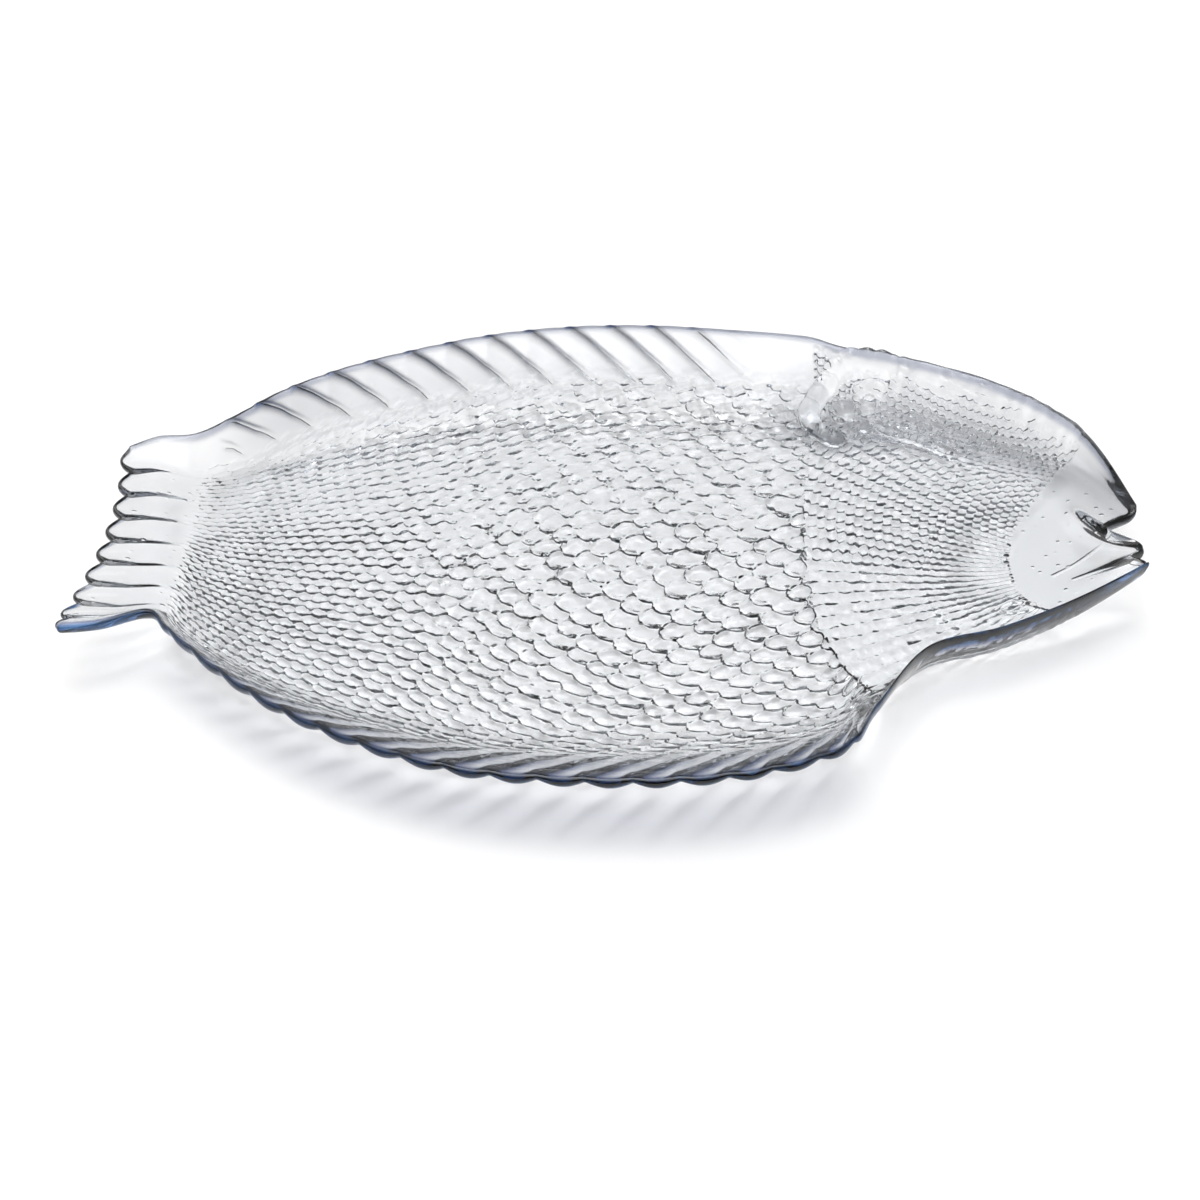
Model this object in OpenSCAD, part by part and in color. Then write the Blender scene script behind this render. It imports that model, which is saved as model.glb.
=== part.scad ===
// Fish shaped serving platter, pressed in clear glass: smooth above, fluted and ribbed below.
// The head points along +X, the dorsal fin lies towards +Y and the base rests on Z = 0.
// Every region shares one grid of stations along the fish and rows across it,
// so that neighbouring regions meet face to face.

/* [Overall] */
// Length from the tail lobes to the lips
platter_l = 360; // [300:5:420]
// Width across the belly fin and the dorsal fin
platter_w = 256; // [210:2:300]
// Height of the tail tips and lips above the table
rim_h = 25; // [21:0.5:31]
// Height of the line where the fins leave the wall
fin_root_h = 13; // [11:0.5:16]

/* [Glass] */
// Thickness of the well floor
floor_t = 5; // [3:0.25:7]
// Thickness of the glass at the rim, over the flutes
rim_t = 4.2; // [3.5:0.1:5.5]
// Extra share of thickness on the steep wall of the head
head_thicken = 0.25; // [0:0.05:0.6]

/* [Fins] */
// Number of flutes along the belly fin
belly_flutes = 18; // [10:1:22]
// Number of flutes along the dorsal fin
dorsal_flutes = 14; // [8:1:17]
// Depth of the grooves between the flutes, cut into the underside
flute_depth = 1.8; // [0.5:0.1:2.2]
// Distance a flute sweeps back towards the tail from root to edge
flute_sweep = 25; // [0:1:32]
// Depth of the scallops along the fin edges
scallop_depth = 1; // [0:0.1:2.5]

/* [Tail] */
// Number of rounded rays in the tail fin
tail_rays = 9; // [5:1:9]
// Depth of the grooves between the rays, cut into the underside
ray_depth = 1.6; // [0.5:0.1:2.2]
// Depth of the notches between the ends of the rays
ray_notch = 4; // [1:0.25:6]
// How far the end of the tail curves in between its tips
tail_hollow = 6; // [0:0.5:8]
// How far the two tail tips are rounded off
tip_round = 4; // [1:0.5:5]

/* [Head] */
// Depth of the open mouth between the lips
mouth_depth = 11; // [5:0.5:13]
// Depth of the small nick above the chin
nick_depth = 4; // [1:0.5:5]
// Height of the scrolls behind the brow
scroll_h = 3; // [1:0.25:4]

/* [Grid] */
// Spacing of the stations along the fish
station_step = 3.4; // [3:0.1:5]

/* [Hidden] */

// The outline's points are drawn for this length and width, then stretched to the driving sizes.
drawn_l = 360;
drawn_w = 256;
stretch = [platter_l / drawn_l, platter_w / drawn_w];
// Belly side, from the near tail tip past the tail notch, belly fin and throat to the chin
belly_points = [[-182.5, -61], [-167, -58.5], [-152, -51.5], [-144, -60.5], [-126, -79], [-104, -97],
                [-78, -112], [-49, -123], [-18, -127.5], [14, -128], [44, -123.5], [68, -113], [79, -94],
                [98, -66], [124, -56], [152, -42], [177, -26]];
// Dorsal side, from the far tail tip along the dorsal fin and brow to the upper lip
dorsal_points = [[-179.5, 41], [-167, 48], [-154, 51], [-142, 63], [-126, 81], [-104, 97], [-78, 110],
                 [-49, 121], [-18, 127], [14, 128], [46, 124.5], [74, 120], [89, 114], [116, 105],
                 [146, 88], [171, 55], [180, 6]];
belly = [for (p = belly_points) [p.x * stretch.x, p.y * stretch.y]];
dorsal = [for (p = dorsal_points) [p.x * stretch.x, p.y * stretch.y]];

// Stations count the outline's points. These stations part one region from the next.
last_station = len(belly) - 1;
tail_root = 2;
floor_back = 4.5;
fin_front = 11.5;
floor_front = 13;
jaw_root = 15;
// Rows run from the belly edge to the dorsal edge. Fins and walls take this many rows on each side.
rows = 48;
fin_rows = 4;
wall_rows = 4;
mouth_row = 29;
fin_share = fin_rows / rows;
side_share = (fin_rows + wall_rows) / rows;
// The throat's wall is steeper, and takes this share of the rows
throat_share = 0.08;

// How round the wall turns at the floor's corners, how softly it levels at the rim, how steep the head is
corner_power = 3;
level_power = 10;
head_power = 2.2;
wall_share = wall_rows / (fin_rows + wall_rows);
// Ray widths grow towards the far side of the tail, and the notches fade out at its two tips
ray_power = 0.78;
tip_share = 0.06;
// Width of tail over which each tip turns
tip_width = 8;
// Stations over which the head's profile takes over, and over which grooves fade in and out
head_from = 11;
head_to = 12.5;
fade = 0.5;
dorsal_fade_from = 9;
dorsal_fade_to = 10.5;
flutes_from = 2.6;
// Shares of the fin's width over which the grooves die out at its root
groove_fade = 0.75;
groove_end = 1.15;
// Stations over which the tail's notches, its hollow and the mouth die out
notch_reach = 1.2;
hollow_reach = 2.5;
mouth_from = 14.2;
// Places across the lips, as shares of the edge from chin to upper lip
mouth_low = 0.36;
mouth_high = 0.96;
nick_mid = 0.2;
nick_half = 0.1;
// Scrolls behind the brow and the ridge along it: centre, half length, half width, turn, share of the height
scrolls = [[[79, 94], 12, 5, 62, 1], [[95, 106], 11, 4.5, -12, 1], [[89, 93], 6.5, 5, 20, 0.7],
           [[132, 91], 30, 4, -34, 0.45]];
// Station where the scrolls begin, and share of the rows over which they die out at the rim
scroll_from = 10.6;
rim_share = 0.03;

function smooth(a, b, x) = let (t = min(max((x - a) / (b - a), 0), 1)) t * t * (3 - 2 * t);
function mix(a, b, t) = a + (b - a) * t;
function curve(p, q, r, s, t) =
    0.5 * (2 * q + (r - p) * t + (2 * p - 5 * q + 4 * r - s) * t * t + (3 * q - p - 3 * r + s) * t * t * t);
function along(points, u) =
    let (n = len(points) - 1, k = min(floor(u), n - 1))
    curve(points[max(k - 1, 0)], points[k], points[k + 1], points[min(k + 2, n)], u - k);

// Length along an edge up to each station, for spacing the flutes evenly
function lengths(points, k = 0, sum = 0) =
    k == len(points) ? []
    : let (s = sum + (k == 0 ? 0 : norm(points[k] - points[k - 1])))
      concat([s], lengths(points, k + 1, s));
belly_len = lengths(belly);
dorsal_len = lengths(dorsal);
function length_at(list, u) = let (k = min(floor(u), len(list) - 2)) mix(list[k], list[k + 1], u - k);
belly_pitch = (length_at(belly_len, fin_front) - length_at(belly_len, flutes_from)) / belly_flutes;
dorsal_pitch = (length_at(dorsal_len, dorsal_fade_to) - length_at(dorsal_len, flutes_from)) / dorsal_flutes;

// Height of the flutes from 0 in a groove to 1 on a crest, where r is 0 at the fin's edge and 1 at its root
function crest(phase) = abs(sin(180 * phase));
function belly_crest(u, r) = crest((length_at(belly_len, u) + flute_sweep * (1 - r)) / belly_pitch);
function dorsal_crest(u, r) = crest((length_at(dorsal_len, u) + flute_sweep * (1 - r)) / dorsal_pitch);
function belly_window(u) =
    smooth(flutes_from, flutes_from + fade, u) * (1 - smooth(fin_front - fade, fin_front, u));
function dorsal_window(u) =
    smooth(flutes_from, flutes_from + fade, u) * (1 - smooth(dorsal_fade_from, dorsal_fade_to, u));
function ray_phase(v) = tail_rays * pow(v, ray_power);

// Plan position of a station and row: straight columns from edge to edge, with scallops, tail and lips
function edge_reach(u, v) =
    let (low = v / fin_share, high = (1 - v) / fin_share)
    low < 1 ? scallop_depth * belly_window(u) * (1 - belly_crest(u, 0)) * (1 - low)
    : high < 1 ? -scallop_depth * dorsal_window(u) * (1 - dorsal_crest(u, 0)) * (1 - high)
    : 0;
function round_tip(d) = tip_round * pow(max(0, 1 - d / tip_width), 2);
function tail_inset(u, v, width) =
    let (w = min(v, 1 - v), notch = ray_notch * (1 - crest(ray_phase(v))) * smooth(0, tip_share, w))
    (notch + round_tip(w * width)) * (1 - smooth(0, notch_reach, u))
    + tail_hollow * 4 * v * (1 - v) * (1 - smooth(0, hollow_reach, u));
function tent(x, mid, half) = max(0, 1 - abs(x - mid) / half);
function lip_depth(v) =
    max(mouth_depth * tent(v, (mouth_low + mouth_high) / 2, (mouth_high - mouth_low) / 2),
        nick_depth * tent(v, nick_mid, nick_half));
function place(u, v) =
    let (b = along(belly, u), d = along(dorsal, u), width = norm(d - b),
         lip = lip_depth(v) * smooth(mouth_from, last_station, u))
    mix(b, d, v + edge_reach(u, v) / width) + [tail_inset(u, v, width) - lip, 0];

// How far up the wall a station and row lie: 0 on the floor, 1 at the rim
function over_end(u) =
    max((floor_back - u) / floor_back, (u - floor_front) / (last_station - floor_front), 0);
function belly_share(u) = mix(side_share, throat_share, smooth(fin_front, floor_front, u));
function over_side(u, v) = max(1 - v / belly_share(u), 1 - (1 - v) / side_share, 0);
function climb(u, v) =
    let (p = pow(pow(over_end(u), corner_power) + pow(over_side(u, v), corner_power), 1 / corner_power))
    p == 0 ? 0 : max(0, p - ln(1 + exp((p - 1) * level_power)) / level_power);
function fin_profile(q) =
    q < wall_share ? mix(floor_t, fin_root_h, pow(q / wall_share, 2))
    : mix(fin_root_h, rim_h, (q - wall_share) / (1 - wall_share));
function head_profile(q) = mix(floor_t, rim_h, pow(q, head_power));
function head_share(u) = smooth(head_from, head_to, u);
function skin(u, q) = mix(fin_profile(q), head_profile(q), head_share(u));

// Scrolls raised behind the brow, and grooves cut into the underside of the fins and the tail
function scroll(at, s) =
    let (d = at - [s[0].x * stretch.x, s[0].y * stretch.y],
         a = (d.x * cos(s[3]) + d.y * sin(s[3])) / s[1], b = (d.y * cos(s[3]) - d.x * sin(s[3])) / s[2])
    s[4] * exp(-a * a - b * b);
function scroll_relief(u, v) =
    let (at = place(u, v), wall = smooth(0, wall_share, max(1 - (1 - v) / side_share, 0) + over_end(u)))
    scroll_h * max([for (s = scrolls) scroll(at, s)]) * wall
    * smooth(scroll_from, scroll_from + fade, u) * smooth(0, rim_share, 1 - v);
function groove_reach(r) = 1 - smooth(groove_fade, groove_end, r);
function grooves(u, v) =
    let (low = v / fin_share, high = (1 - v) / fin_share)
    flute_depth * belly_window(u) * (1 - belly_crest(u, low)) * groove_reach(low)
    + flute_depth * dorsal_window(u) * (1 - dorsal_crest(u, high)) * groove_reach(high)
    + ray_depth * (1 - crest(ray_phase(v))) * (1 - smooth(tail_root - fade, tail_root + fade, u));
function top(u, v) =
    skin(u, climb(u, v)) + (v > 1 - side_share || u > floor_front ? scroll_relief(u, v) : 0);
function under(u, v) =
    let (q = climb(u, v), t = mix(floor_t, rim_t, q) * (1 + head_thicken * head_share(u) * q * q))
    skin(u, q) - t + grooves(u, v);

// The grid: an even number of steps between stations, so that half stations lie on it
function steps(k) = 2 * max(1, round(norm(belly[k + 1] - belly[k]) / station_step / 2));
stations = concat([for (k = [0 : last_station - 1]) for (j = [0 : steps(k) - 1]) k + j / steps(k)],
                  [last_station]);
same_station = 0.001;
function column(u) = [for (i = [0 : len(stations) - 1]) if (abs(stations[i] - u) < same_station) i][0];
points_top = [for (u = stations) [for (j = [0 : rows]) let (v = j / rows) [each place(u, v), top(u, v)]]];
points_under = [for (u = stations) [for (j = [0 : rows]) let (v = j / rows) [each place(u, v), under(u, v)]]];

// One region of the glass between two stations and two rows, closed on all sides
module region(from, to, low, high) {
    i0 = column(from);
    m = column(to) - i0;
    n = high - low;
    half = (m + 1) * (n + 1);
    function at(i, j, side) = side * half + i * (n + 1) + j;
    function quad(a, b, c, d) = [[a, b, c], [a, c, d]];
    points = [for (side = [points_top, points_under]) for (i = [i0 : i0 + m]) for (j = [low : high])
        side[i][j]];
    top_faces = [for (i = [0 : m - 1]) for (j = [0 : n - 1])
        each quad(at(i, j, 0), at(i, j + 1, 0), at(i + 1, j + 1, 0), at(i + 1, j, 0))];
    under_faces = [for (i = [0 : m - 1]) for (j = [0 : n - 1])
        each quad(at(i, j, 1), at(i + 1, j, 1), at(i + 1, j + 1, 1), at(i, j + 1, 1))];
    side_faces = [for (i = [0 : m - 1])
        each concat(quad(at(i, 0, 0), at(i + 1, 0, 0), at(i + 1, 0, 1), at(i, 0, 1)),
                    quad(at(i + 1, n, 0), at(i, n, 0), at(i, n, 1), at(i + 1, n, 1)))];
    end_faces = [for (j = [0 : n - 1])
        each concat(quad(at(0, j + 1, 0), at(0, j, 0), at(0, j, 1), at(0, j + 1, 1)),
                    quad(at(m, j, 0), at(m, j + 1, 0), at(m, j + 1, 1), at(m, j, 1)))];
    polyhedron(points, concat(top_faces, under_faces, side_faces, end_faces), convexity = 8);
}

wall_end = fin_rows + wall_rows;
glass = [0.82, 0.88, 0.94, 0.6];

module well_floor() {
    i0 = column(floor_back);
    i1 = column(floor_front);
    near = [for (i = [i0 : i1]) points_top[i][wall_end]];
    front = [for (j = [wall_end + 1 : rows - wall_end]) points_top[i1][j]];
    far = [for (i = [i1 - 1 : -1 : i0]) points_top[i][rows - wall_end]];
    back = [for (j = [rows - wall_end - 1 : -1 : wall_end + 1]) points_top[i0][j]];
    color(glass)
    linear_extrude(floor_t)
    polygon([for (p = concat(near, front, far, back)) [p.x, p.y]]);
}
module tail_fin() { color(glass) region(0, tail_root, 0, rows); }
module tail_wall() { color(glass) region(tail_root, floor_back, fin_rows, rows - fin_rows); }
module belly_fin() { color(glass) region(tail_root, fin_front, 0, fin_rows); }
module dorsal_fin() { color(glass) region(tail_root, fin_front, rows - fin_rows, rows); }
module belly_wall() { color(glass) region(floor_back, fin_front, fin_rows, wall_end); }
module dorsal_wall() { color(glass) region(floor_back, fin_front, rows - wall_end, rows - fin_rows); }
module throat_wall() { color(glass) region(fin_front, floor_front, 0, wall_end); }
module brow() { color(glass) region(fin_front, floor_front, rows - wall_end, rows); }
module cheek() { color(glass) region(floor_front, jaw_root, 0, rows); }
module upper_jaw() { color(glass) region(jaw_root, last_station, mouth_row, rows); }
module lower_jaw() { color(glass) region(jaw_root, last_station, 0, mouth_row); }

well_floor();
tail_fin();
tail_wall();
belly_fin();
dorsal_fin();
belly_wall();
dorsal_wall();
throat_wall();
brow();
cheek();
upper_jaw();
lower_jaw();
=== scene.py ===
"""Fish shaped platter: one piece of pressed clear glass with its relief, on a lit table."""

import math

import bpy
import numpy as np
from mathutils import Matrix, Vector


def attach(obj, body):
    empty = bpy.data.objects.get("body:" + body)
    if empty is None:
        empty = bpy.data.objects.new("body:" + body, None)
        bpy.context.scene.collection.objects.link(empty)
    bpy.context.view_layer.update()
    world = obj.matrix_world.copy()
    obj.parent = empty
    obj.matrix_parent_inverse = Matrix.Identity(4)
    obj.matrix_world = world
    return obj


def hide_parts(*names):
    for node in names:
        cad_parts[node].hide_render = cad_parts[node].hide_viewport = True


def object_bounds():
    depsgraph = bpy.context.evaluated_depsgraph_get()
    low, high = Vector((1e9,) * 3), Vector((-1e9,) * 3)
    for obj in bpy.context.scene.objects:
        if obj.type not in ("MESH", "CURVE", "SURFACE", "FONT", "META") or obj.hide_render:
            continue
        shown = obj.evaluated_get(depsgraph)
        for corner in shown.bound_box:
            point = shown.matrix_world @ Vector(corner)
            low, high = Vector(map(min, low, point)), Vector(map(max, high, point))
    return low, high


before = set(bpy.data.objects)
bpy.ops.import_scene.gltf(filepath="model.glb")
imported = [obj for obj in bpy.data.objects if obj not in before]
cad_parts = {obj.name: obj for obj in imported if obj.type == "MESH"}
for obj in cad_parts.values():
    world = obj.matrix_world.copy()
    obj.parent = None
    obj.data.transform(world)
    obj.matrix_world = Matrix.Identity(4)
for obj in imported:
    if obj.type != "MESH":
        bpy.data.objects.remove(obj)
CAD_LOW, CAD_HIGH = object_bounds()

bl_info = {
    "name": "Fish Platter",
    "version": (1, 0, 0),
    "blender": (4, 5, 0),
    "location": "View3D > Sidebar > Fish Platter",
    "description": "Presses a fish shaped glass platter and sets it on a white table",
    "category": "Object",
}

MM = 0.001

# Length and width, in metres, at which the outline below is drawn.
DRAWN_LENGTH, DRAWN_WIDTH = 0.360, 0.256

# The outline in millimetres, from the tail to the lips. Stations count its points.
BELLY = np.array([
    (-182.5, -61), (-167, -58.5), (-152, -51.5), (-144, -60.5), (-126, -79), (-104, -97), (-78, -112),
    (-49, -123), (-18, -127.5), (14, -128), (44, -123.5), (68, -113), (79, -94), (98, -66), (124, -56),
    (152, -42), (177, -26)])
DORSAL = np.array([
    (-179.5, 41), (-167, 48), (-154, 51), (-142, 63), (-126, 81), (-104, 97), (-78, 110), (-49, 121),
    (-18, 127), (14, 128), (46, 124.5), (74, 120), (89, 114), (116, 105), (146, 88), (171, 55), (180, 6)])
LAST = len(BELLY) - 1

# Stations where the well floor starts, the fins end, the well floor ends and the jaws start.
FLOOR_BACK, FIN_FRONT, FLOOR_FRONT, JAW_ROOT = 4.5, 11.5, 13, 14.2

# Stations between which the flutes of each fin fade in and out, and the wall becomes that of the head.
FLUTES_IN, BELLY_OUT, DORSAL_OUT, HEAD_BLEND = (2.6, 3.1), (11, 11.5), (9, 10.5), (11, 12.5)

# Shares of the width: a fin, a side with its wall, and the side at the throat.
# The last is the share of the climb that lies below the fins.
FIN_SHARE, SIDE_SHARE, THROAT_SHARE, WALL_SHARE = 1 / 12, 1 / 6, 0.08, 0.5

# Middle and half size, as shares of the width, of the open mouth and of the nick over the chin.
MOUTH, NICK = (0.66, 0.3), (0.2, 0.1)

# Distances in millimetres: over which the glass thins to its edge at the tail and lips, and along
# the far rim, from the last station but one to the lips, and from a tail tip to where its rounding ends.
END_TAPER, FAR_TAPER, JAW_LENGTH, TIP_REACH = 4.5, 3.5, 30, 8

# Plan of the line where the scales end and the beads start, and of the line where the beads end.
GILL_Y = (-80, -68, -55, -35, 0, 20, 45, 70, 100)
GILL_X = (87, 81, 73, 67, 66, 67, 70, 74, 78)
LIPS_Y = (-50, -39, -35, -28.6, -19.2, -2.1, 11.9, 27.8, 43.2, 50, 60)
LIPS_X = (164, 153, 147.3, 140.5, 136.6, 136.8, 141.1, 150.8, 162.4, 171.4, 182)

# Pitch of the smallest and largest scales in millimetres, and rows of scales in half the width.
SMALL_PITCH, LARGE_PITCH, SCALE_ROWS = 4, 11.5, 20

# Point on which the rows of beads converge, degrees between rows, and pitch of beads and lower strings.
BEAD_X, BEAD_Y, BEAD_ANGLE, BEAD_PITCH, STRING_PITCH = 162, -12, 3.8, 3.5, 2.8

# Direction across the finer rows of the upper head, their width, their pitch, and where they take over.
RICE_X, RICE_Y, RICE_WIDTH, RICE_PITCH, RICE_START = 0.563, 0.826, 2.5, 3.2, (119, 124)

# Cell, turn, radius and depth of the tiny pits that bubbles leave.
SEED_CELL, SEED_TURN, SEED_RADIUS, SEED_DEPTH = 6.5, 0.6, 0.6, 0.6

# Steps across the radius of the rounded rim.
RIM_ROUNDS = 6

# Half size of the table and its gap under the platter.
TABLE_REACH, TABLE_GAP = 12.0, 0.0001

# Point that the camera stands round. It is seen this many pixels above the middle of a picture
# in which the focal length measures this many pixels.
TURN_POINT, POINT_RISE, FOCAL_PIXELS = (-0.006, 0, 0), 32, 1818

# Soft panels of light: where each hangs, the degrees at which it starts and stops to fade, its setting.
PANELS = (
    ((0, 0, 1), 15, 42, "top_panel"),
    ((-0.05, 0.2, 0.98), 10, 20, "back_panel"),
    ((-0.6, 0.5, 0.62), 14, 24, "tail_panel"),
)

# Raised curves on the head in plan, each with its half width and its share of the scroll height.
SCROLLS = (
    (((107, 104.7), (99.5, 107.1), (91.8, 107.5), (85.8, 104.6), (82.9, 100.3), (77.6, 93.9), (74.5, 87.7),
      (77.7, 78.9), (83.4, 73)), 4, 1),
    (((95, 97.5), (99, 99), (103, 97.5)), 2.2, 0.6),
    (((88.5, 90.6), (89.5, 90.6)), 3.6, 0.8),
    (((98, 92.5), (98.5, 93)), 3, 0.7),
    (((104.5, 100.5), (105, 100.5)), 2.4, 0.6),
    (((109.5, 99), (110, 99)), 2.4, 0.6),
    (((94, 81.4), (96, 81.4)), 2.6, 0.4),
)
BROW = ((112.7, 103.6), (121.9, 98.4), (132.5, 91.9), (146.3, 82.7), (159, 69.9), (168.8, 54.1))
STRING = ((100.9, 80.7), (106.8, 76.8), (114.1, 73.3), (121, 67.9), (125.9, 63.5))
GILL_LINE = ((137, 72.5), (128.5, 56.5), (124.5, 44), (117, 22), (108.5, 0), (106.5, -18),
             (107.5, -30), (113, -39))
JAW_RING = ((128, -31), (130.5, -28.9), (134, -28.4), (138, -29.5), (140, -31.6), (137.5, -33.4),
            (133, -33.6), (129.4, -32.6), (128, -31))

# Fine raised lines of the gill and the jaw, each with its half width and its height.
LINES = ((GILL_LINE, 1.1, 0.35), (JAW_RING, 0.9, 0.4))

# Hollow lines cut into the underside of the head, each with its half width and its depth.
HOLLOWS = (
    (((150, -15), (158, -11.5), (168, -5)), 1, 0.25),
    (((156, -20), (164, -19), (174, -17.5)), 0.8, 0.2),
    (((106.1, 101), (100.1, 102.6), (93.9, 102), (91.9, 99), (91.4, 95.4)), 1.5, 1.5),
    (((82.7, 94.7), (81.8, 91.6), (83.8, 87.9), (88.6, 85.3), (94.6, 86.3), (98.9, 84.3)), 1.5, 1.4),
    (((80, 104), (76, 97.5), (71.5, 90), (72, 82), (77, 75)), 2.4, 0.6),
    (((84.2, 82.7), (88.2, 77.4), (93.1, 73.3)), 2, 1),
    (((105.1, 85.1), (111.3, 81.5), (118.5, 77.8), (123.6, 73.7)), 2, 1.2),
    (((99.6, 75.5), (106.4, 71.9), (113.5, 67.9), (123.8, 61.6)), 1.6, 1.1),
)


class GlassSizes(bpy.types.PropertyGroup):
    """Sizes, tint and painted shade colours of the glass."""

    rim_height: bpy.props.FloatProperty(
        name="Rim height", description="Height of the tail tips and lips over the table",
        default=0.025, unit="LENGTH")
    fin_root_height: bpy.props.FloatProperty(
        name="Fin root height", description="Height of the line where the fins leave the wall",
        default=0.013, unit="LENGTH")
    floor_thickness: bpy.props.FloatProperty(
        name="Floor thickness", description="Thickness of the well floor", default=0.005, unit="LENGTH")
    rim_thickness: bpy.props.FloatProperty(
        name="Rim thickness", description="Thickness of the glass at the rim",
        default=0.0042, unit="LENGTH")
    least_thickness: bpy.props.FloatProperty(
        name="Least thickness", description="Thickness that the relief leaves everywhere", default=0.0016,
        unit="LENGTH")
    head_thicken: bpy.props.FloatProperty(
        name="Head thickening", description="Extra share of thickness on the steep wall of the head",
        default=0.25, subtype="FACTOR")
    belly_flutes: bpy.props.IntProperty(
        name="Belly flutes", description="Number of flutes along the belly fin", default=18)
    dorsal_flutes: bpy.props.IntProperty(
        name="Dorsal flutes", description="Number of flutes along the dorsal fin", default=14)
    flute_depth: bpy.props.FloatProperty(
        name="Flute depth", description="Depth of the grooves between the flutes",
        default=0.0018, unit="LENGTH")
    flute_sweep: bpy.props.FloatProperty(
        name="Flute sweep", description="Distance a flute sweeps back towards the tail from root to edge",
        default=0.025, unit="LENGTH")
    scallop_depth: bpy.props.FloatProperty(
        name="Scallop depth", description="Depth of the scallops along the fin edges",
        default=0.001, unit="LENGTH")
    tail_rays: bpy.props.IntProperty(
        name="Tail rays", description="Number of rounded rays in the tail fin", default=9)
    ray_depth: bpy.props.FloatProperty(
        name="Ray depth", description="Depth of the grooves between the rays",
        default=0.0016, unit="LENGTH")
    ray_notch: bpy.props.FloatProperty(
        name="Ray notch", description="Depth of the notches between the ends of the rays",
        default=0.004, unit="LENGTH")
    tail_hollow: bpy.props.FloatProperty(
        name="Tail hollow", description="How far the end of the tail curves in between its tips",
        default=0.006, unit="LENGTH")
    tip_round: bpy.props.FloatProperty(
        name="Tail tip rounding", description="How far the two tail tips are rounded off",
        default=0.004, unit="LENGTH")
    mouth_depth: bpy.props.FloatProperty(
        name="Mouth depth", description="Depth of the open mouth between the lips",
        default=0.011, unit="LENGTH")
    nick_depth: bpy.props.FloatProperty(
        name="Nick depth", description="Depth of the small nick above the chin",
        default=0.004, unit="LENGTH")
    scroll_height: bpy.props.FloatProperty(
        name="Scroll height", description="Height of the scrolls behind the brow",
        default=0.003, unit="LENGTH")
    scale_height: bpy.props.FloatProperty(
        name="Scale height", description="Height of the largest scales over the floor of the well",
        default=0.0021, unit="LENGTH")
    bead_height: bpy.props.FloatProperty(
        name="Bead height", description="Height of the beads on the head", default=0.00042, unit="LENGTH")
    ripple_height: bpy.props.FloatProperty(
        name="Ripple height", description="Height of the uneven ripples of the underside",
        default=0.0002, unit="LENGTH")
    wave_height: bpy.props.FloatProperty(
        name="Wave height", description="Height of the soft waves on the upper side", default=0.00026,
        unit="LENGTH")
    lip_height: bpy.props.FloatProperty(
        name="Lip height", description="Height of the fine lip round the largest scales", default=0.0003,
        unit="LENGTH")
    top_share: bpy.props.FloatProperty(
        name="Top share", description="Share of the height of the scales on the upper side",
        default=0.25, subtype="FACTOR")
    mesh_step: bpy.props.FloatProperty(
        name="Mesh step", description="Spacing of the points that carry the relief",
        default=0.0005, unit="LENGTH")
    tint: bpy.props.FloatVectorProperty(
        name="Glass tint", description="Colour that deep glass takes on", size=3,
        default=(0.0, 0.08, 0.2), subtype="COLOR")
    # Painted shade: a dark blue put along the rim, in the belly grooves and over the belly fin, where the
    # thick glass looks dark; it also darkens the fin's shadow on the table.
    edge_colour: bpy.props.FloatVectorProperty(
        name="Edge colour", description="Colour of the glass along the rim and in the belly grooves",
        size=3, default=(0.008, 0.038, 0.16), subtype="COLOR")
    # Painted shade: a near black put in the grooves of the dorsal fin, where the glass looks dark.
    streak_colour: bpy.props.FloatVectorProperty(
        name="Streak colour", description="Colour of the glass in the grooves of the dorsal fin", size=3,
        default=(0.008, 0.016, 0.045), subtype="COLOR")
    # Painted shade: a grey put up the far wall, where the glass looks greyer than in the well.
    wall_colour: bpy.props.FloatVectorProperty(
        name="Wall colour", description="Colour of the glass up the far wall", size=3,
        default=(0.78, 0.785, 0.8), subtype="COLOR")
    tint_density: bpy.props.FloatProperty(
        name="Tint density", description="How fast deep glass takes on its colour, per metre",
        default=26.0)


class StageSettings(bpy.types.PropertyGroup):
    """Table, light and camera."""

    table_colour: bpy.props.FloatVectorProperty(
        name="Table colour", description="Colour of the table", size=3, default=(0.95, 0.95, 0.95),
        subtype="COLOR")
    horizon_colour: bpy.props.FloatVectorProperty(
        name="Horizon colour", description="Colour of the dark room low down behind the camera", size=3,
        default=(0.022, 0.036, 0.065), subtype="COLOR")
    backdrop_colour: bpy.props.FloatVectorProperty(
        name="Backdrop colour", description="Colour of the light low down behind the platter", size=3,
        default=(0.5, 0.5, 0.5), subtype="COLOR")
    dome_colour: bpy.props.FloatVectorProperty(
        name="Dome colour", description="Colour of the soft light overhead", size=3,
        default=(0.28, 0.276, 0.27), subtype="COLOR")
    top_panel: bpy.props.FloatProperty(
        name="Top panel", description="Strength of the broad panel overhead", default=2.15)
    back_panel: bpy.props.FloatProperty(
        name="Back panel", description="Strength of the panel behind and above", default=2.6)
    tail_panel: bpy.props.FloatProperty(
        name="Tail panel", description="Strength of the panel behind the tail", default=1.4)
    camera_distance: bpy.props.FloatProperty(
        name="Camera distance", description="Distance from the camera to the point it stands round",
        default=0.640, unit="LENGTH")
    camera_elevation: bpy.props.FloatProperty(
        name="Camera elevation", description="Angle of the camera above the table",
        default=math.radians(38.5), subtype="ANGLE")
    camera_lens: bpy.props.FloatProperty(
        name="Camera lens", description="Focal length on a 36 mm sensor", default=54.54, unit="CAMERA")


def smooth(a, b, x):
    """Eases from 0 at a to 1 at b."""
    t = np.clip((x - a) / (b - a), 0, 1)
    return t * t * (3 - 2 * t)


def mix(a, b, t):
    """Blends from a to b."""
    return a + (b - a) * t


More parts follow.
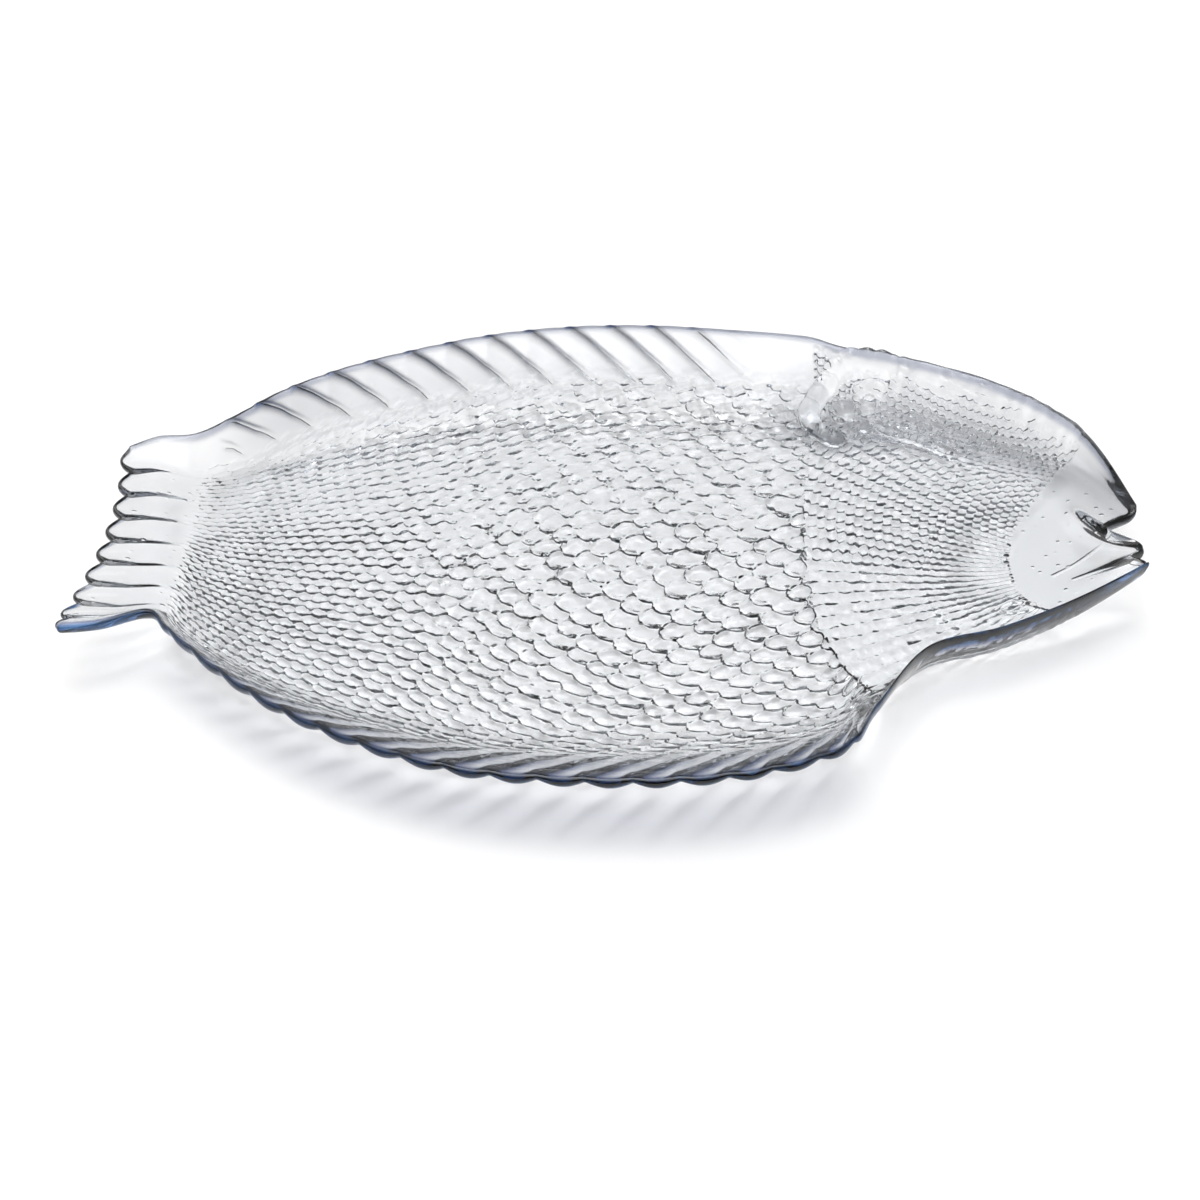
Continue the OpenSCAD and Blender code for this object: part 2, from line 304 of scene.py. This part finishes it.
def along(points, u):
    """Point of a smooth curve through the points, at a station between them."""
    n = len(points) - 1
    k = np.clip(np.floor(u).astype(int), 0, n - 1)
    t = (u - k)[..., None]
    p, q = points[np.maximum(k - 1, 0)], points[k]
    r, s = points[k + 1], points[np.minimum(k + 2, n)]
    return 0.5 * (2 * q + (r - p) * t + (2 * p - 5 * q + 4 * r - s) * t ** 2
                  + (3 * q - p - 3 * r + s) * t ** 3)


def length_at(points, u):
    """Length along an edge up to a station."""
    steps = np.linalg.norm(np.diff(points, axis=0), axis=1)
    return np.interp(u, np.arange(len(points)), np.concatenate([[0], np.cumsum(steps)]))


def crest(phase):
    """Rounded ridges with a sharp groove at every whole number."""
    return np.abs(np.sin(np.pi * phase))


def tent(x, mid, half):
    """Peak of 1 at mid that falls straight to 0."""
    return np.maximum(0, 1 - np.abs(x - mid) / half)


def chance(a, b, kind):
    """A fixed number from 0 to 1 for each pair of whole numbers, which looks random."""
    return np.modf(np.abs(np.sin(a * 127.1 + b * 311.7 + kind * 74.7) * 43758.5453))[0]


def ripples(x, y, size, kind):
    """Uneven smooth lumps of about the given size, from -1 to 1."""
    i, j = np.floor(x / size), np.floor(y / size)
    s, t = smooth(0, 1, x / size - i), smooth(0, 1, y / size - j)
    near = mix(chance(i, j, kind), chance(i + 1, j, kind), s)
    far = mix(chance(i, j + 1, kind), chance(i + 1, j + 1, kind), s)
    return 2 * mix(near, far, t) - 1


def nearness(x, y, points, half):
    """1 on a smooth curve through the points, falling to 0 at the half width, and the length along it."""
    points = np.array(points, float)
    line = along(points, np.linspace(0, len(points) - 1, 6 * (len(points) - 1) + 1))
    near, run, length = np.full(x.shape, np.inf), np.zeros(x.shape), 0
    for p, q in zip(line[:-1], line[1:]):
        step = q - p
        size = np.hypot(*step)
        t = np.clip(((x - p[0]) * step[0] + (y - p[1]) * step[1]) / size ** 2, 0, 1)
        away = np.hypot(x - p[0] - t * step[0], y - p[1] - t * step[1])
        run = np.where(away < near, length + t * size, run)
        near = np.minimum(near, away)
        length += size
    return np.maximum(0, 1 - (near / half) ** 2), run


class Fish:
    """The platter's surfaces, in millimetres, over stations u along the fish and rows v across it."""

    def __init__(self, sizes, stretch):
        for name in sizes.__annotations__:
            value = getattr(sizes, name)
            in_metres = sizes.bl_rna.properties[name].unit == "LENGTH"
            setattr(self, name, value / MM if in_metres else value)
        self.belly = BELLY * stretch
        self.dorsal = DORSAL * stretch
        self.stretch = stretch
        belly_run = length_at(self.belly, BELLY_OUT[1]) - length_at(self.belly, FLUTES_IN[0])
        dorsal_run = length_at(self.dorsal, DORSAL_OUT[1]) - length_at(self.dorsal, FLUTES_IN[0])
        self.belly_pitch = belly_run / self.belly_flutes
        self.dorsal_pitch = dorsal_run / self.dorsal_flutes

    def belly_crest(self, u, r):
        """Flutes of the belly fin, at a share r of the way from its edge to its root."""
        return crest((length_at(self.belly, u) + self.flute_sweep * (1 - r)) / self.belly_pitch)

    def dorsal_phase(self, u, r):
        """Flutes counted along the dorsal fin, at a share r of the way from its edge to its root."""
        return (length_at(self.dorsal, u) + self.flute_sweep * (1 - r)) / self.dorsal_pitch

    def dorsal_crest(self, u, r):
        """Flutes of the dorsal fin."""
        return crest(self.dorsal_phase(u, r))

    def dorsal_groove(self, u, r):
        """Narrow groove between two dorsal flutes, which tapers towards the root."""
        phase = self.dorsal_phase(u, r)
        away = np.abs(phase - np.round(phase)) * self.dorsal_pitch
        return np.exp(-(away / mix(1.9, 0.7, np.clip(r, 0, 1))) ** 2)

    @staticmethod
    def belly_window(u):
        """1 along the belly fin, easing to 0 past its ends."""
        return smooth(*FLUTES_IN, u) * (1 - smooth(*BELLY_OUT, u))

    @staticmethod
    def dorsal_window(u):
        """1 along the dorsal fin, easing to 0 past its ends."""
        return smooth(*FLUTES_IN, u) * (1 - smooth(*DORSAL_OUT, u))

    def ray_phase(self, v):
        """Rays counted across the tail, which widen towards the far tip."""
        return self.tail_rays * v ** 0.78

    def place(self, u, v):
        """Plan position of a station and row."""
        b, d = along(self.belly, u), along(self.dorsal, u)
        width = np.linalg.norm(d - b, axis=-1)
        near = np.clip(1 - v / FIN_SHARE, 0, 1)
        far = np.clip(1 - (1 - v) / FIN_SHARE, 0, 1)
        reach = self.scallop_depth * (
            self.belly_window(u) * (1 - self.belly_crest(u, 0)) * near
            - self.dorsal_window(u) * (1 - self.dorsal_crest(u, 0)) * far)
        at = mix(b, d, (v + reach / width)[..., None])
        side = np.minimum(v, 1 - v)
        tip = self.tip_round * np.maximum(0, 1 - side * width / TIP_REACH) ** 2
        notch = self.ray_notch * (1 - crest(self.ray_phase(v))) * smooth(0, 0.06, side)
        bow = self.tail_hollow * 4 * v * (1 - v) * (1 - smooth(0, 2.5, u))
        tail = (notch + tip) * (1 - smooth(0, 1.2, u)) + bow
        mouth, nick = smooth(0, 1, tent(v, *MOUTH)), smooth(0, 1, tent(v, *NICK))
        lip = np.maximum(self.mouth_depth * mouth, self.nick_depth * nick)
        return at[..., 0] + tail - lip * smooth(JAW_ROOT, LAST, u), at[..., 1]

    @staticmethod
    def climb(u, v):
        """How far up the wall a station and row lie: 0 on the floor, 1 at the rim."""
        tail, lips = (FLOOR_BACK - u) / FLOOR_BACK, (u - FLOOR_FRONT) / (LAST - FLOOR_FRONT)
        end = np.maximum(np.maximum(tail, lips), 0)
        share = mix(SIDE_SHARE, THROAT_SHARE, smooth(FIN_FRONT, FLOOR_FRONT, u))
        side = np.maximum(np.maximum(1 - v / share, 1 - (1 - v) / SIDE_SHARE), 0)
        p = (end ** 3 + side ** 3) ** (1 / 3)
        return np.where(p == 0, 0, np.maximum(0, p - np.log1p(np.exp((p - 1) * 10)) / 10))

    def skin(self, u, q):
        """Height of the top without relief."""
        low = mix(self.floor_thickness, self.fin_root_height, (q / WALL_SHARE) ** 2)
        high = mix(self.fin_root_height, self.rim_height, (q - WALL_SHARE) / (1 - WALL_SHARE))
        fin = np.where(q < WALL_SHARE, low, high)
        head = mix(self.floor_thickness, self.rim_height, q ** 2.2)
        return mix(fin, head, smooth(*HEAD_BLEND, u))

    def thickness(self, u, q):
        """Thickness of the glass without relief."""
        plain = mix(self.floor_thickness, self.rim_thickness, q)
        return plain * (1 + self.head_thicken * smooth(*HEAD_BLEND, u) * q * q)

    def grooves(self, u, v):
        """Grooves between the flutes of the fins and the rays of the tail, cut into the underside."""
        near, far = v / FIN_SHARE, (1 - v) / FIN_SHARE
        belly = self.belly_window(u) * (1 - self.belly_crest(u, near)) * (1 - smooth(0.75, 1.15, near))
        dorsal = 0.3 * (1 - self.dorsal_crest(u, far)) + self.dorsal_groove(u, far)
        dorsal = self.dorsal_window(u) * dorsal * (1 - smooth(0.75, 1.15, far))
        phase = self.ray_phase(v)
        narrow = np.exp(-(np.abs(phase - np.round(phase)) / 0.13) ** 2)
        rays = (0.35 * (1 - crest(phase)) + 0.25 * narrow) * (1 - smooth(1.1, 2.5, u))
        return self.flute_depth * (belly + dorsal) + self.ray_depth * rays

    def colour(self, u, v, across, lengthwise, raised):
        """Painted shade in the glass colour: clear in the well, a painted grey shade up the far wall, and
        a painted dark shade in the grooves, over the belly fin and along the rim.
        """
        near, far = v / FIN_SHARE, (1 - v) / FIN_SHARE
        # Painted shade in the belly grooves, fading towards the fin's root.
        groove = (1 - self.belly_crest(u, near)) ** 0.6 * (1 - smooth(0.3, 1.1, near))
        groove = self.belly_window(u) * groove
        # Painted shade over the whole belly fin, which also darkens the fin's shadow on the table.
        fin = 0.2 * self.belly_window(u) * (1 - smooth(0.7, 1.2, near))
        # Painted shade along the rim: full along the near rim, weaker along the far rim, and at the tail
        # end and the near part of the lips.
        side = np.where(v < 0.5, 1 - smooth(1, 4, across), 0.7 - 0.7 * smooth(0.5, 2, across))
        end = 0.8 - 0.8 * smooth(0.5, 2.5, lengthwise)
        edge = np.maximum(side, end * np.where(u < FLOOR_BACK, 1, 1 - smooth(0.1, 0.2, v)))
        # Painted shade in the dorsal grooves, strongest near the fin's edge.
        painted_groove_shade = self.dorsal_window(u) * self.dorsal_groove(u, far) ** 0.8 * (1 - smooth(0.6, 1.15, far))
        # Painted grey shade up the far wall and over the dorsal fin, and up the far wall of the head
        # except on the raised scrolls.
        dorsal = smooth(0.88, 0.94, v) * smooth(2, 4, u) * (1 - smooth(10, 11, u))
        brow = smooth(0.74, 0.84, v) * smooth(10, 11, u) * (1 - smooth(0.3, 1.2, raised))
        # The grey and dark masks hold painted shade, mixed below into clear glass.
        grey, dark = np.maximum(dorsal, brow), np.maximum(np.maximum(groove, fin), edge)
        colour = np.ones(u.shape + (3,))
        for share, tint in (
                (grey, self.wall_colour), (painted_groove_shade, self.streak_colour), (dark, self.edge_colour)):
            colour = mix(colour, np.array(tint), share[..., None])
        return colour

    def scales(self, x, y, v):
        """Overlapping scales with free edges to the tail: depth under their tops, and their lips."""
        column = np.arange(-200.0, 120.0)
        pitch = mix(SMALL_PITCH, LARGE_PITCH, smooth(-150, 20, column))
        middle = x - (y + 15) ** 2 / 320
        a = np.interp(middle, column, np.cumsum(1 / pitch))
        size = np.interp(middle, column, pitch)
        w = (v - 0.5) / (0.5 - FIN_SHARE)
        spread = 1 - 0.37 * smooth(-85, 5, x) + 0.1 * smooth(10, 50, x)
        b = SCALE_ROWS * (spread * w + (1 - spread) * w ** 3)
        single = 1 - smooth(5, 9, size)
        centres, covers, tops, lips = [], [], [], []
        for row in (np.floor(b), np.floor(b) + 1):
            shift = 0.5 * (row % 2)
            for step in (0, 1):
                centre = np.floor(a - shift) + shift + step
                key = 2 * centre
                half_a = 0.62 * (0.92 + 0.16 * chance(key, row, 1))
                half_b = 0.72 * (0.94 + 0.12 * chance(key, row, 2))
                middle_a = centre + 0.16 * (chance(key, row, 3) - 0.5)
                middle_b = row + 0.2 * (chance(key, row, 4) - 0.5)
                t = (middle_a - a) / half_a
                s = (b - middle_b) / half_b
                rho = np.sqrt(t ** 2 + s ** 2)
                fine = 1 / (half_a * size)
                lean = 0.24 * (chance(key, row, 5) - 0.5) * t + 0.24 * (chance(key, row, 6) - 0.5) * s
                lift = 0.12 * (chance(key, row, 7) - 0.5)
                tops.append(0.46 + 0.3 * t + 0.24 * (1 - rho ** 2) + lean + lift - 0.5 * single * s ** 2)
                lips.append(np.maximum(0, 1 - ((rho - 1 + fine) / fine) ** 2) ** 2)
                centres.append(middle_a)
                covers.append(smooth(1, 1 - 0.8 * fine, rho))
        order = np.argsort(np.array(centres), axis=0)
        height, lip = np.zeros_like(x), np.zeros_like(x)
        for k in range(4):
            at = order[k:k + 1]
            cover = np.take_along_axis(np.array(covers), at, 0)[0]
            height = mix(height, np.take_along_axis(np.array(tops), at, 0)[0], cover)
            lip = mix(lip, np.take_along_axis(np.array(lips), at, 0)[0], cover)
        height = mix(height, np.max(np.array(covers) * np.array(tops), axis=0), single)
        most = self.scale_height * (size / LARGE_PITCH) ** 0.7 * (1 - 0.25 * single)
        return most * (1 - height), most / self.scale_height * lip

    def beads(self, x, y):
        """Rows of beads that converge on the mouth, with strings low on the cheek and finer rows above."""
        reach = np.hypot(x - BEAD_X, y - BEAD_Y)
        angle = np.degrees(np.arctan2(y - BEAD_Y, BEAD_X - x)) / BEAD_ANGLE
        ridge = crest(angle)
        string = 0.7 * ridge ** 0.7 + 0.3 * ridge * crest(reach / STRING_PITCH)
        row = np.floor(angle)
        across = angle - row - 0.5
        step = reach / BEAD_PITCH + 0.5 * (row % 2)
        down = step - np.floor(step) - 0.5
        grain = np.sqrt(np.maximum(0, 1 - 3.4 * (across ** 2 + down ** 2)))
        band = RICE_X * x + RICE_Y * y
        file = np.floor(band / RICE_WIDTH)
        turn = (RICE_Y * x - RICE_X * y) / RICE_PITCH + 0.5 * (file % 2)
        near, aside = band / RICE_WIDTH - file - 0.5, turn - np.floor(turn) - 0.5
        rice = np.sqrt(np.maximum(0, 1 - 3.6 * (near ** 2 + aside ** 2)))
        grain = mix(grain, rice, smooth(*RICE_START, band))
        return self.bead_height * mix(string, 1.2 * grain, smooth(1.5, 2.5, angle))

    @staticmethod
    def seeds(x, y):
        """Tiny pits that bubbles leave, scattered one to a cell of a turned grid."""
        x, y = (x + SEED_TURN * y) / SEED_CELL, (y - SEED_TURN * x) / SEED_CELL
        i, j = np.floor(x), np.floor(y)
        aside = x - i - 0.15 - 0.7 * chance(i, j, 15)
        ahead = y - j - 0.15 - 0.7 * chance(i, j, 16)
        away = np.hypot(aside, ahead) * SEED_CELL
        return np.maximum(0, chance(i, j, 17) - 0.4) * np.exp(-(away / SEED_RADIUS) ** 2)

    def carving(self, x, y):
        """Scrolls and lines of the head: how far they rise on top and cut into the underside."""
        rise, cut = np.zeros_like(x), np.zeros_like(x)
        head = x > 60 * self.stretch[0]
        px, py = x[head] / self.stretch[0], y[head] / self.stretch[1]
        raised = np.zeros_like(px)
        for points, half, share in SCROLLS:
            near, run = nearness(px, py, points, half)
            pebbles = 0.55 + 0.45 * crest(run / 6.2) ** 0.7
            raised = np.maximum(raised, self.scroll_height * share * near ** 0.6 * pebbles)
        near, run = nearness(px, py, STRING, 2.4)
        pearls = 0.6 + 0.4 * crest(run / 3.3)
        raised = np.maximum(raised, self.scroll_height * 0.45 * near ** 0.7 * pearls)
        near, run = nearness(px, py, BROW, 3.4)
        lumps = 0.55 + 0.45 * ripples(px, py, 3.2, 12)
        raised = np.maximum(raised, self.scroll_height * 0.5 * near ** 0.7 * lumps)
        raised = raised * (1 + 0.2 * ripples(px, py, 2.6, 14))
        for points, half, height in LINES:
            raised = raised + height * nearness(px, py, points, half)[0]
        hollow = np.zeros_like(px)
        for points, half, depth in HOLLOWS:
            hollow = np.maximum(hollow, depth * nearness(px, py, points, half)[0])
        rise[head], cut[head] = raised, hollow
        return rise, cut

    def relief(self, u, v, x, y):
        """Depth cut into the underside and height of the upper side, over the scales and beads."""
        x, y = x / self.stretch[0], y / self.stretch[1]
        gill = np.interp(y, GILL_Y, GILL_X)
        lips = np.interp(y, LIPS_Y, LIPS_X)
        head = smooth(gill - 0.6, gill + 0.6, x)
        body = smooth(FIN_SHARE * 0.9, FIN_SHARE * 1.15, v)
        body = body * smooth(FIN_SHARE * 0.85, FIN_SHARE * 1.2, 1 - v)
        body = body * smooth(1.8, 2.7, u) * (1 - head)
        face = head * (1 - smooth(lips - 1, lips + 0.5, x))
        face = face * smooth(0.01, 0.03, v) * smooth(0.012, 0.03, 1 - v)
        depth, lip = self.scales(x, y, v)
        grain = 1.2 * self.bead_height - self.beads(x, y)
        above = 0.6 * ripples(x, y, 2.6, 8) + 0.4 * ripples(x + y, y - x, 2.7, 9)
        below = 0.6 * ripples(x, y, 2.8, 10) + 0.4 * ripples(x + y, y - x, 2.9, 11)
        far = smooth(0.74, 0.88, v)
        calm = mix(0.3, 1, smooth(-130, -50, x))
        below = (body + face) * calm * self.ripple_height * (below + 0.6)
        deeper = 1.45 - 0.45 * smooth(0.3, 0.45, v) - 0.4 * smooth(0.5, 0.68, v) + 0.9 * far
        cut = np.maximum(0, body * deeper * depth + face * (1 + 1.2 * far) * grain + below)
        rise = body * (self.lip_height * lip - self.top_share * (1 + far) * depth)
        rise = rise - face * (0.5 + 0.9 * far) * grain
        pits = SEED_DEPTH * self.seeds(x, y) * (1 - body - face)
        cut = cut + pits * smooth(0.02, 0.04, v) * smooth(0.02, 0.04, 1 - v)
        return cut, rise + (body + face) * calm * self.wave_height * (1 + 2.4 * far) * above


def rim_steps():
    """Shares of a rounded edge's radius, close together at the very edge."""
    return 1 - np.cos(np.linspace(0, math.pi / 2, RIM_ROUNDS + 1))


def press_mesh(fish):
    """Points of the glass over a grid: plan position, top, underside and painted shade colour, with a
    rounded rim.
    """
    radius = fish.rim_thickness / 2
    lengths = np.maximum(np.linalg.norm(np.diff(fish.belly, axis=0), axis=1),
                         np.linalg.norm(np.diff(fish.dorsal, axis=0), axis=1))
    stations = [np.arange(0)]
    for k, length in enumerate(lengths):
        n = 2 * math.ceil(length / fish.mesh_step / 2)
        stations.append(k + np.arange(n) / n)
    u_line = np.concatenate(stations + [[LAST]])
    tail_edge, lip_edge = radius / lengths[0], radius / JAW_LENGTH
    u_line = u_line[(u_line > tail_edge) & (u_line < LAST - lip_edge)]
    u_line = np.concatenate([rim_steps() * tail_edge, u_line, LAST - rim_steps()[::-1] * lip_edge])
    b, d = along(fish.belly, u_line), along(fish.dorsal, u_line)
    width = np.linalg.norm(d - b, axis=1)
    inner = 2 * round(np.max(width) / fish.mesh_step / 2)
    edge = (radius / width)[:, None]
    rim = rim_steps()[None, :] * edge
    middle = mix(edge, 1 - edge, (np.arange(1, inner) / inner)[None, :])
    v = np.concatenate([rim, middle, 1 - rim[:, ::-1]], axis=1)
    u = np.broadcast_to(u_line[:, None], v.shape)

    x, y = fish.place(u, v)
    q = fish.climb(u, v)
    skin = fish.skin(u, q)
    raised, hollow = fish.carving(x, y)
    cut, rise = fish.relief(u, v, x, y)
    plain = 1 - smooth(0.4, 1.2, raised)
    top = skin + rise * plain + raised
    under = skin - fish.thickness(u, q) + fish.grooves(u, v) + np.maximum(cut * plain, hollow)
    under = np.minimum(under, top - fish.least_thickness)
    across = np.minimum(v, 1 - v) * width[:, None]
    lengthwise = np.minimum(u * lengths[0], (LAST - u) * JAW_LENGTH)
    sides = np.minimum(v * width[:, None] / radius, (1 - v) * width[:, None] / FAR_TAPER)
    inset = np.clip(np.minimum(sides, lengthwise / END_TAPER), 0, 1)
    bulge = np.sqrt(np.maximum(0, 1 - (1 - inset) ** 2))
    heart = (top + under) / 2
    top = heart + (top - heart) * bulge
    under = heart + (under - heart) * bulge
    return x, y, top, under, fish.colour(u, v, across, lengthwise, raised)


def closed_mesh(name, x, y, top, under, colour):
    """Closed mesh over a grid: top and underside share the points of the edge."""
    columns, rows = x.shape
    grid = np.arange(columns * rows).reshape(columns, rows)
    inside = np.zeros(x.shape, bool)
    inside[1:-1, 1:-1] = True
    below = grid.copy()
    below[inside] = grid.size + np.arange(inside.sum())
    upper, lower = np.stack([x, y, top], -1), np.stack([x, y, under], -1)
    points = np.concatenate([upper.reshape(-1, 3), lower[inside]]) * MM
    over = np.stack([grid[:-1, :-1], grid[1:, :-1], grid[1:, 1:], grid[:-1, 1:]], -1).reshape(-1, 4)
    flat = np.concatenate([over.ravel(), over[:, ::-1].ravel()])
    is_below = np.arange(len(flat)) >= over.size
    corner = np.where(is_below, below.ravel()[flat], flat)
    mesh = bpy.data.meshes.new(name)
    mesh.vertices.add(len(points))
    mesh.vertices.foreach_set("co", points.ravel().astype(np.float32))
    mesh.loops.add(len(corner))
    mesh.loops.foreach_set("vertex_index", corner.astype(np.int32))
    mesh.polygons.add(len(corner) // 4)
    mesh.polygons.foreach_set("loop_start", np.arange(0, len(corner), 4).astype(np.int32))
    mesh.polygons.foreach_set("use_smooth", np.ones(len(corner) // 4, bool))
    mesh.update(calc_edges=True)
    if mesh.validate():
        raise RuntimeError("the glass mesh has broken faces")
    # The upper side takes the lower half of the UV square and the underside the upper half.
    across = (flat % rows) / (rows - 1) * 0.49 + 0.505 * is_below
    place = np.stack([(flat // rows) / (columns - 1), across], -1)
    mesh.uv_layers.new(name="OFBake").data.foreach_set("uv", place.ravel().astype(np.float32))
    # Painted shade of each point, for the top and the underside.
    painted_shades = np.concatenate([colour.reshape(-1, 3), colour[inside]])
    layer = mesh.attributes.new("glass_colour", "FLOAT_VECTOR", "POINT")
    layer.data.foreach_set("vector", painted_shades.ravel().astype(np.float32))
    return mesh


def glass_material(sizes):
    """Pressed glass with a faint waviness and a blue depth, with painted shade carried by the points of
    the mesh.
    """
    material = bpy.data.materials.new("clear_glass")
    material.use_nodes = True
    nodes, links = material.node_tree.nodes, material.node_tree.links
    shader = nodes["Principled BSDF"]
    shader.inputs["IOR"].default_value = 1.52
    shader.inputs["Transmission Weight"].default_value = 1
    shader.inputs["Roughness"].default_value = 0.02
    # Base colour from the painted shade of the points.
    colour = nodes.new("ShaderNodeAttribute")
    colour.attribute_name = "glass_colour"
    links.new(colour.outputs["Vector"], shader.inputs["Base Color"])
    absorb = nodes.new("ShaderNodeVolumeAbsorption")
    absorb.inputs["Color"].default_value = (*sizes.tint, 1)
    absorb.inputs["Density"].default_value = sizes.tint_density
    links.new(absorb.outputs["Volume"], nodes["Material Output"].inputs["Volume"])
    place = nodes.new("ShaderNodeTexCoord")
    ripple = nodes.new("ShaderNodeTexNoise")
    ripple.inputs["Scale"].default_value = 260
    ripple.inputs["Detail"].default_value = 2
    links.new(place.outputs["Object"], ripple.inputs["Vector"])
    bump = nodes.new("ShaderNodeBump")
    bump.inputs["Strength"].default_value = 0.4
    bump.inputs["Distance"].default_value = 0.0001
    links.new(ripple.outputs["Fac"], bump.inputs["Height"])
    links.new(bump.outputs["Normal"], shader.inputs["Normal"])
    return material


class PLATTER_OT_press_glass(bpy.types.Operator):
    """Press the platter's glass with its fins, tail, scales and head"""

    bl_idname = "platter.press_glass"
    bl_label = "Press Glass"

    def execute(self, context):
        sizes = context.scene.platter_glass
        cad_length, cad_width = CAD_HIGH.x - CAD_LOW.x, CAD_HIGH.y - CAD_LOW.y
        stretch = np.array([cad_length / DRAWN_LENGTH, cad_width / DRAWN_WIDTH])
        mesh = closed_mesh("platter_glass", *press_mesh(Fish(sizes, np.round(stretch, 2))))
        glass = bpy.data.objects.new("platter_glass", mesh)
        context.scene.collection.objects.link(glass)
        mesh.materials.append(glass_material(sizes))
        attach(glass, "root")
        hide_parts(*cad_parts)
        return {"FINISHED"}


class PLATTER_OT_set_stage(bpy.types.Operator):
    """Lay the white table, set the light and place the camera"""

    bl_idname = "platter.set_stage"
    bl_label = "Set Stage"

    def execute(self, context):
        scene, stage = context.scene, context.scene.platter_stage
        scene.view_settings.view_transform = "Standard"
        scene.cycles.blur_glossy = 0
        mesh = bpy.data.meshes.new("table")
        corners = [(x * TABLE_REACH, y * TABLE_REACH, 0) for x, y in ((-1, -1), (1, -1), (1, 1), (-1, 1))]
        mesh.from_pydata(corners, [], [(0, 1, 2, 3)])
        table = bpy.data.objects.new("table", mesh)
        table.location.z = -TABLE_GAP
        scene.collection.objects.link(table)
        white = bpy.data.materials.new("white_table")
        white.use_nodes = True
        shader = white.node_tree.nodes["Principled BSDF"]
        shader.inputs["Base Color"].default_value = (*stage.table_colour, 1)
        shader.inputs["Roughness"].default_value = 1
        shader.inputs["Specular IOR Level"].default_value = 0
        mesh.materials.append(white)
        self.light(scene, stage)

        camera = bpy.data.cameras.new("camera")
        camera.lens = stage.camera_lens
        camera.sensor_width = 36
        camera_object = bpy.data.objects.new("camera", camera)
        scene.collection.objects.link(camera_object)
        back = Vector((0, -math.cos(stage.camera_elevation), math.sin(stage.camera_elevation)))
        camera_object.location = Vector(TURN_POINT) + back * stage.camera_distance
        drop = math.atan(POINT_RISE / FOCAL_PIXELS)
        camera_object.rotation_euler = (math.pi / 2 - stage.camera_elevation - drop, 0, 0)
        scene.camera = camera_object
        return {"FINISHED"}

    @staticmethod
    def light(scene, stage):
        """A soft dome with brighter panels, over a room that is dark behind the camera."""
        world = bpy.data.worlds.new("studio")
        scene.world = world
        world.use_nodes = True
        nodes, links = world.node_tree.nodes, world.node_tree.links
        place = nodes.new("ShaderNodeTexCoord")
        split = nodes.new("ShaderNodeSeparateXYZ")
        links.new(place.outputs["Generated"], split.inputs["Vector"])
        behind = nodes.new("ShaderNodeMapRange")
        behind.interpolation_type = "SMOOTHSTEP"
        behind.inputs["From Min"].default_value = -0.85
        behind.inputs["From Max"].default_value = -0.2
        links.new(split.outputs["Y"], behind.inputs["Value"])
        low = nodes.new("ShaderNodeMix")
        low.data_type = "RGBA"
        low.inputs["A"].default_value = (*stage.horizon_colour, 1)
        low.inputs["B"].default_value = (*stage.backdrop_colour, 1)
        links.new(behind.outputs["Result"], low.inputs["Factor"])
        above = nodes.new("ShaderNodeMapRange")
        above.interpolation_type = "SMOOTHSTEP"
        above.inputs["From Min"].default_value = 0.3
        above.inputs["From Max"].default_value = 0.65
        links.new(split.outputs["Z"], above.inputs["Value"])
        dome = nodes.new("ShaderNodeMix")
        dome.data_type = "RGBA"
        dome.inputs["B"].default_value = (*stage.dome_colour, 1)
        links.new(above.outputs["Result"], dome.inputs["Factor"])
        links.new(low.outputs["Result"], dome.inputs["A"])
        light = nodes["Background"]
        links.new(dome.outputs["Result"], light.inputs["Color"])
        for aim, inner, outer, setting in PANELS:
            towards = nodes.new("ShaderNodeVectorMath")
            towards.operation = "DOT_PRODUCT"
            towards.inputs[1].default_value = Vector(aim).normalized()
            links.new(place.outputs["Generated"], towards.inputs[0])
            panel = nodes.new("ShaderNodeMapRange")
            panel.interpolation_type = "SMOOTHSTEP"
            panel.inputs["From Min"].default_value = math.cos(math.radians(outer))
            panel.inputs["From Max"].default_value = math.cos(math.radians(inner))
            panel.inputs["To Max"].default_value = getattr(stage, setting)
            links.new(towards.outputs["Value"], panel.inputs["Value"])
            bright = nodes.new("ShaderNodeBackground")
            bright.inputs["Color"].default_value = (1, 1, 1, 1)
            links.new(panel.outputs["Result"], bright.inputs["Strength"])
            both = nodes.new("ShaderNodeAddShader")
            links.new(light.outputs[0], both.inputs[0])
            links.new(bright.outputs[0], both.inputs[1])
            light = both
        links.new(light.outputs[0], nodes["World Output"].inputs["Surface"])


class PLATTER_PT_panel(bpy.types.Panel):
    """Buttons and settings of the platter"""

    bl_idname = "PLATTER_PT_panel"
    bl_label = "Fish Platter"
    bl_space_type = "VIEW_3D"
    bl_region_type = "UI"
    bl_category = "Fish Platter"

    def draw(self, context):
        for operator in (PLATTER_OT_press_glass, PLATTER_OT_set_stage):
            self.layout.operator(operator.bl_idname)
        for group in (context.scene.platter_glass, context.scene.platter_stage):
            for name in group.__annotations__:
                self.layout.prop(group, name)


CLASSES = (GlassSizes, StageSettings, PLATTER_OT_press_glass, PLATTER_OT_set_stage, PLATTER_PT_panel)


def register():
    for cls in CLASSES:
        bpy.utils.register_class(cls)
    bpy.types.Scene.platter_glass = bpy.props.PointerProperty(type=GlassSizes)
    bpy.types.Scene.platter_stage = bpy.props.PointerProperty(type=StageSettings)


def unregister():
    del bpy.types.Scene.platter_stage
    del bpy.types.Scene.platter_glass
    for cls in reversed(CLASSES):
        bpy.utils.unregister_class(cls)


def main():
    register()
    bpy.ops.platter.press_glass()
    bpy.ops.platter.set_stage()


if __name__ == "__main__":
    main()
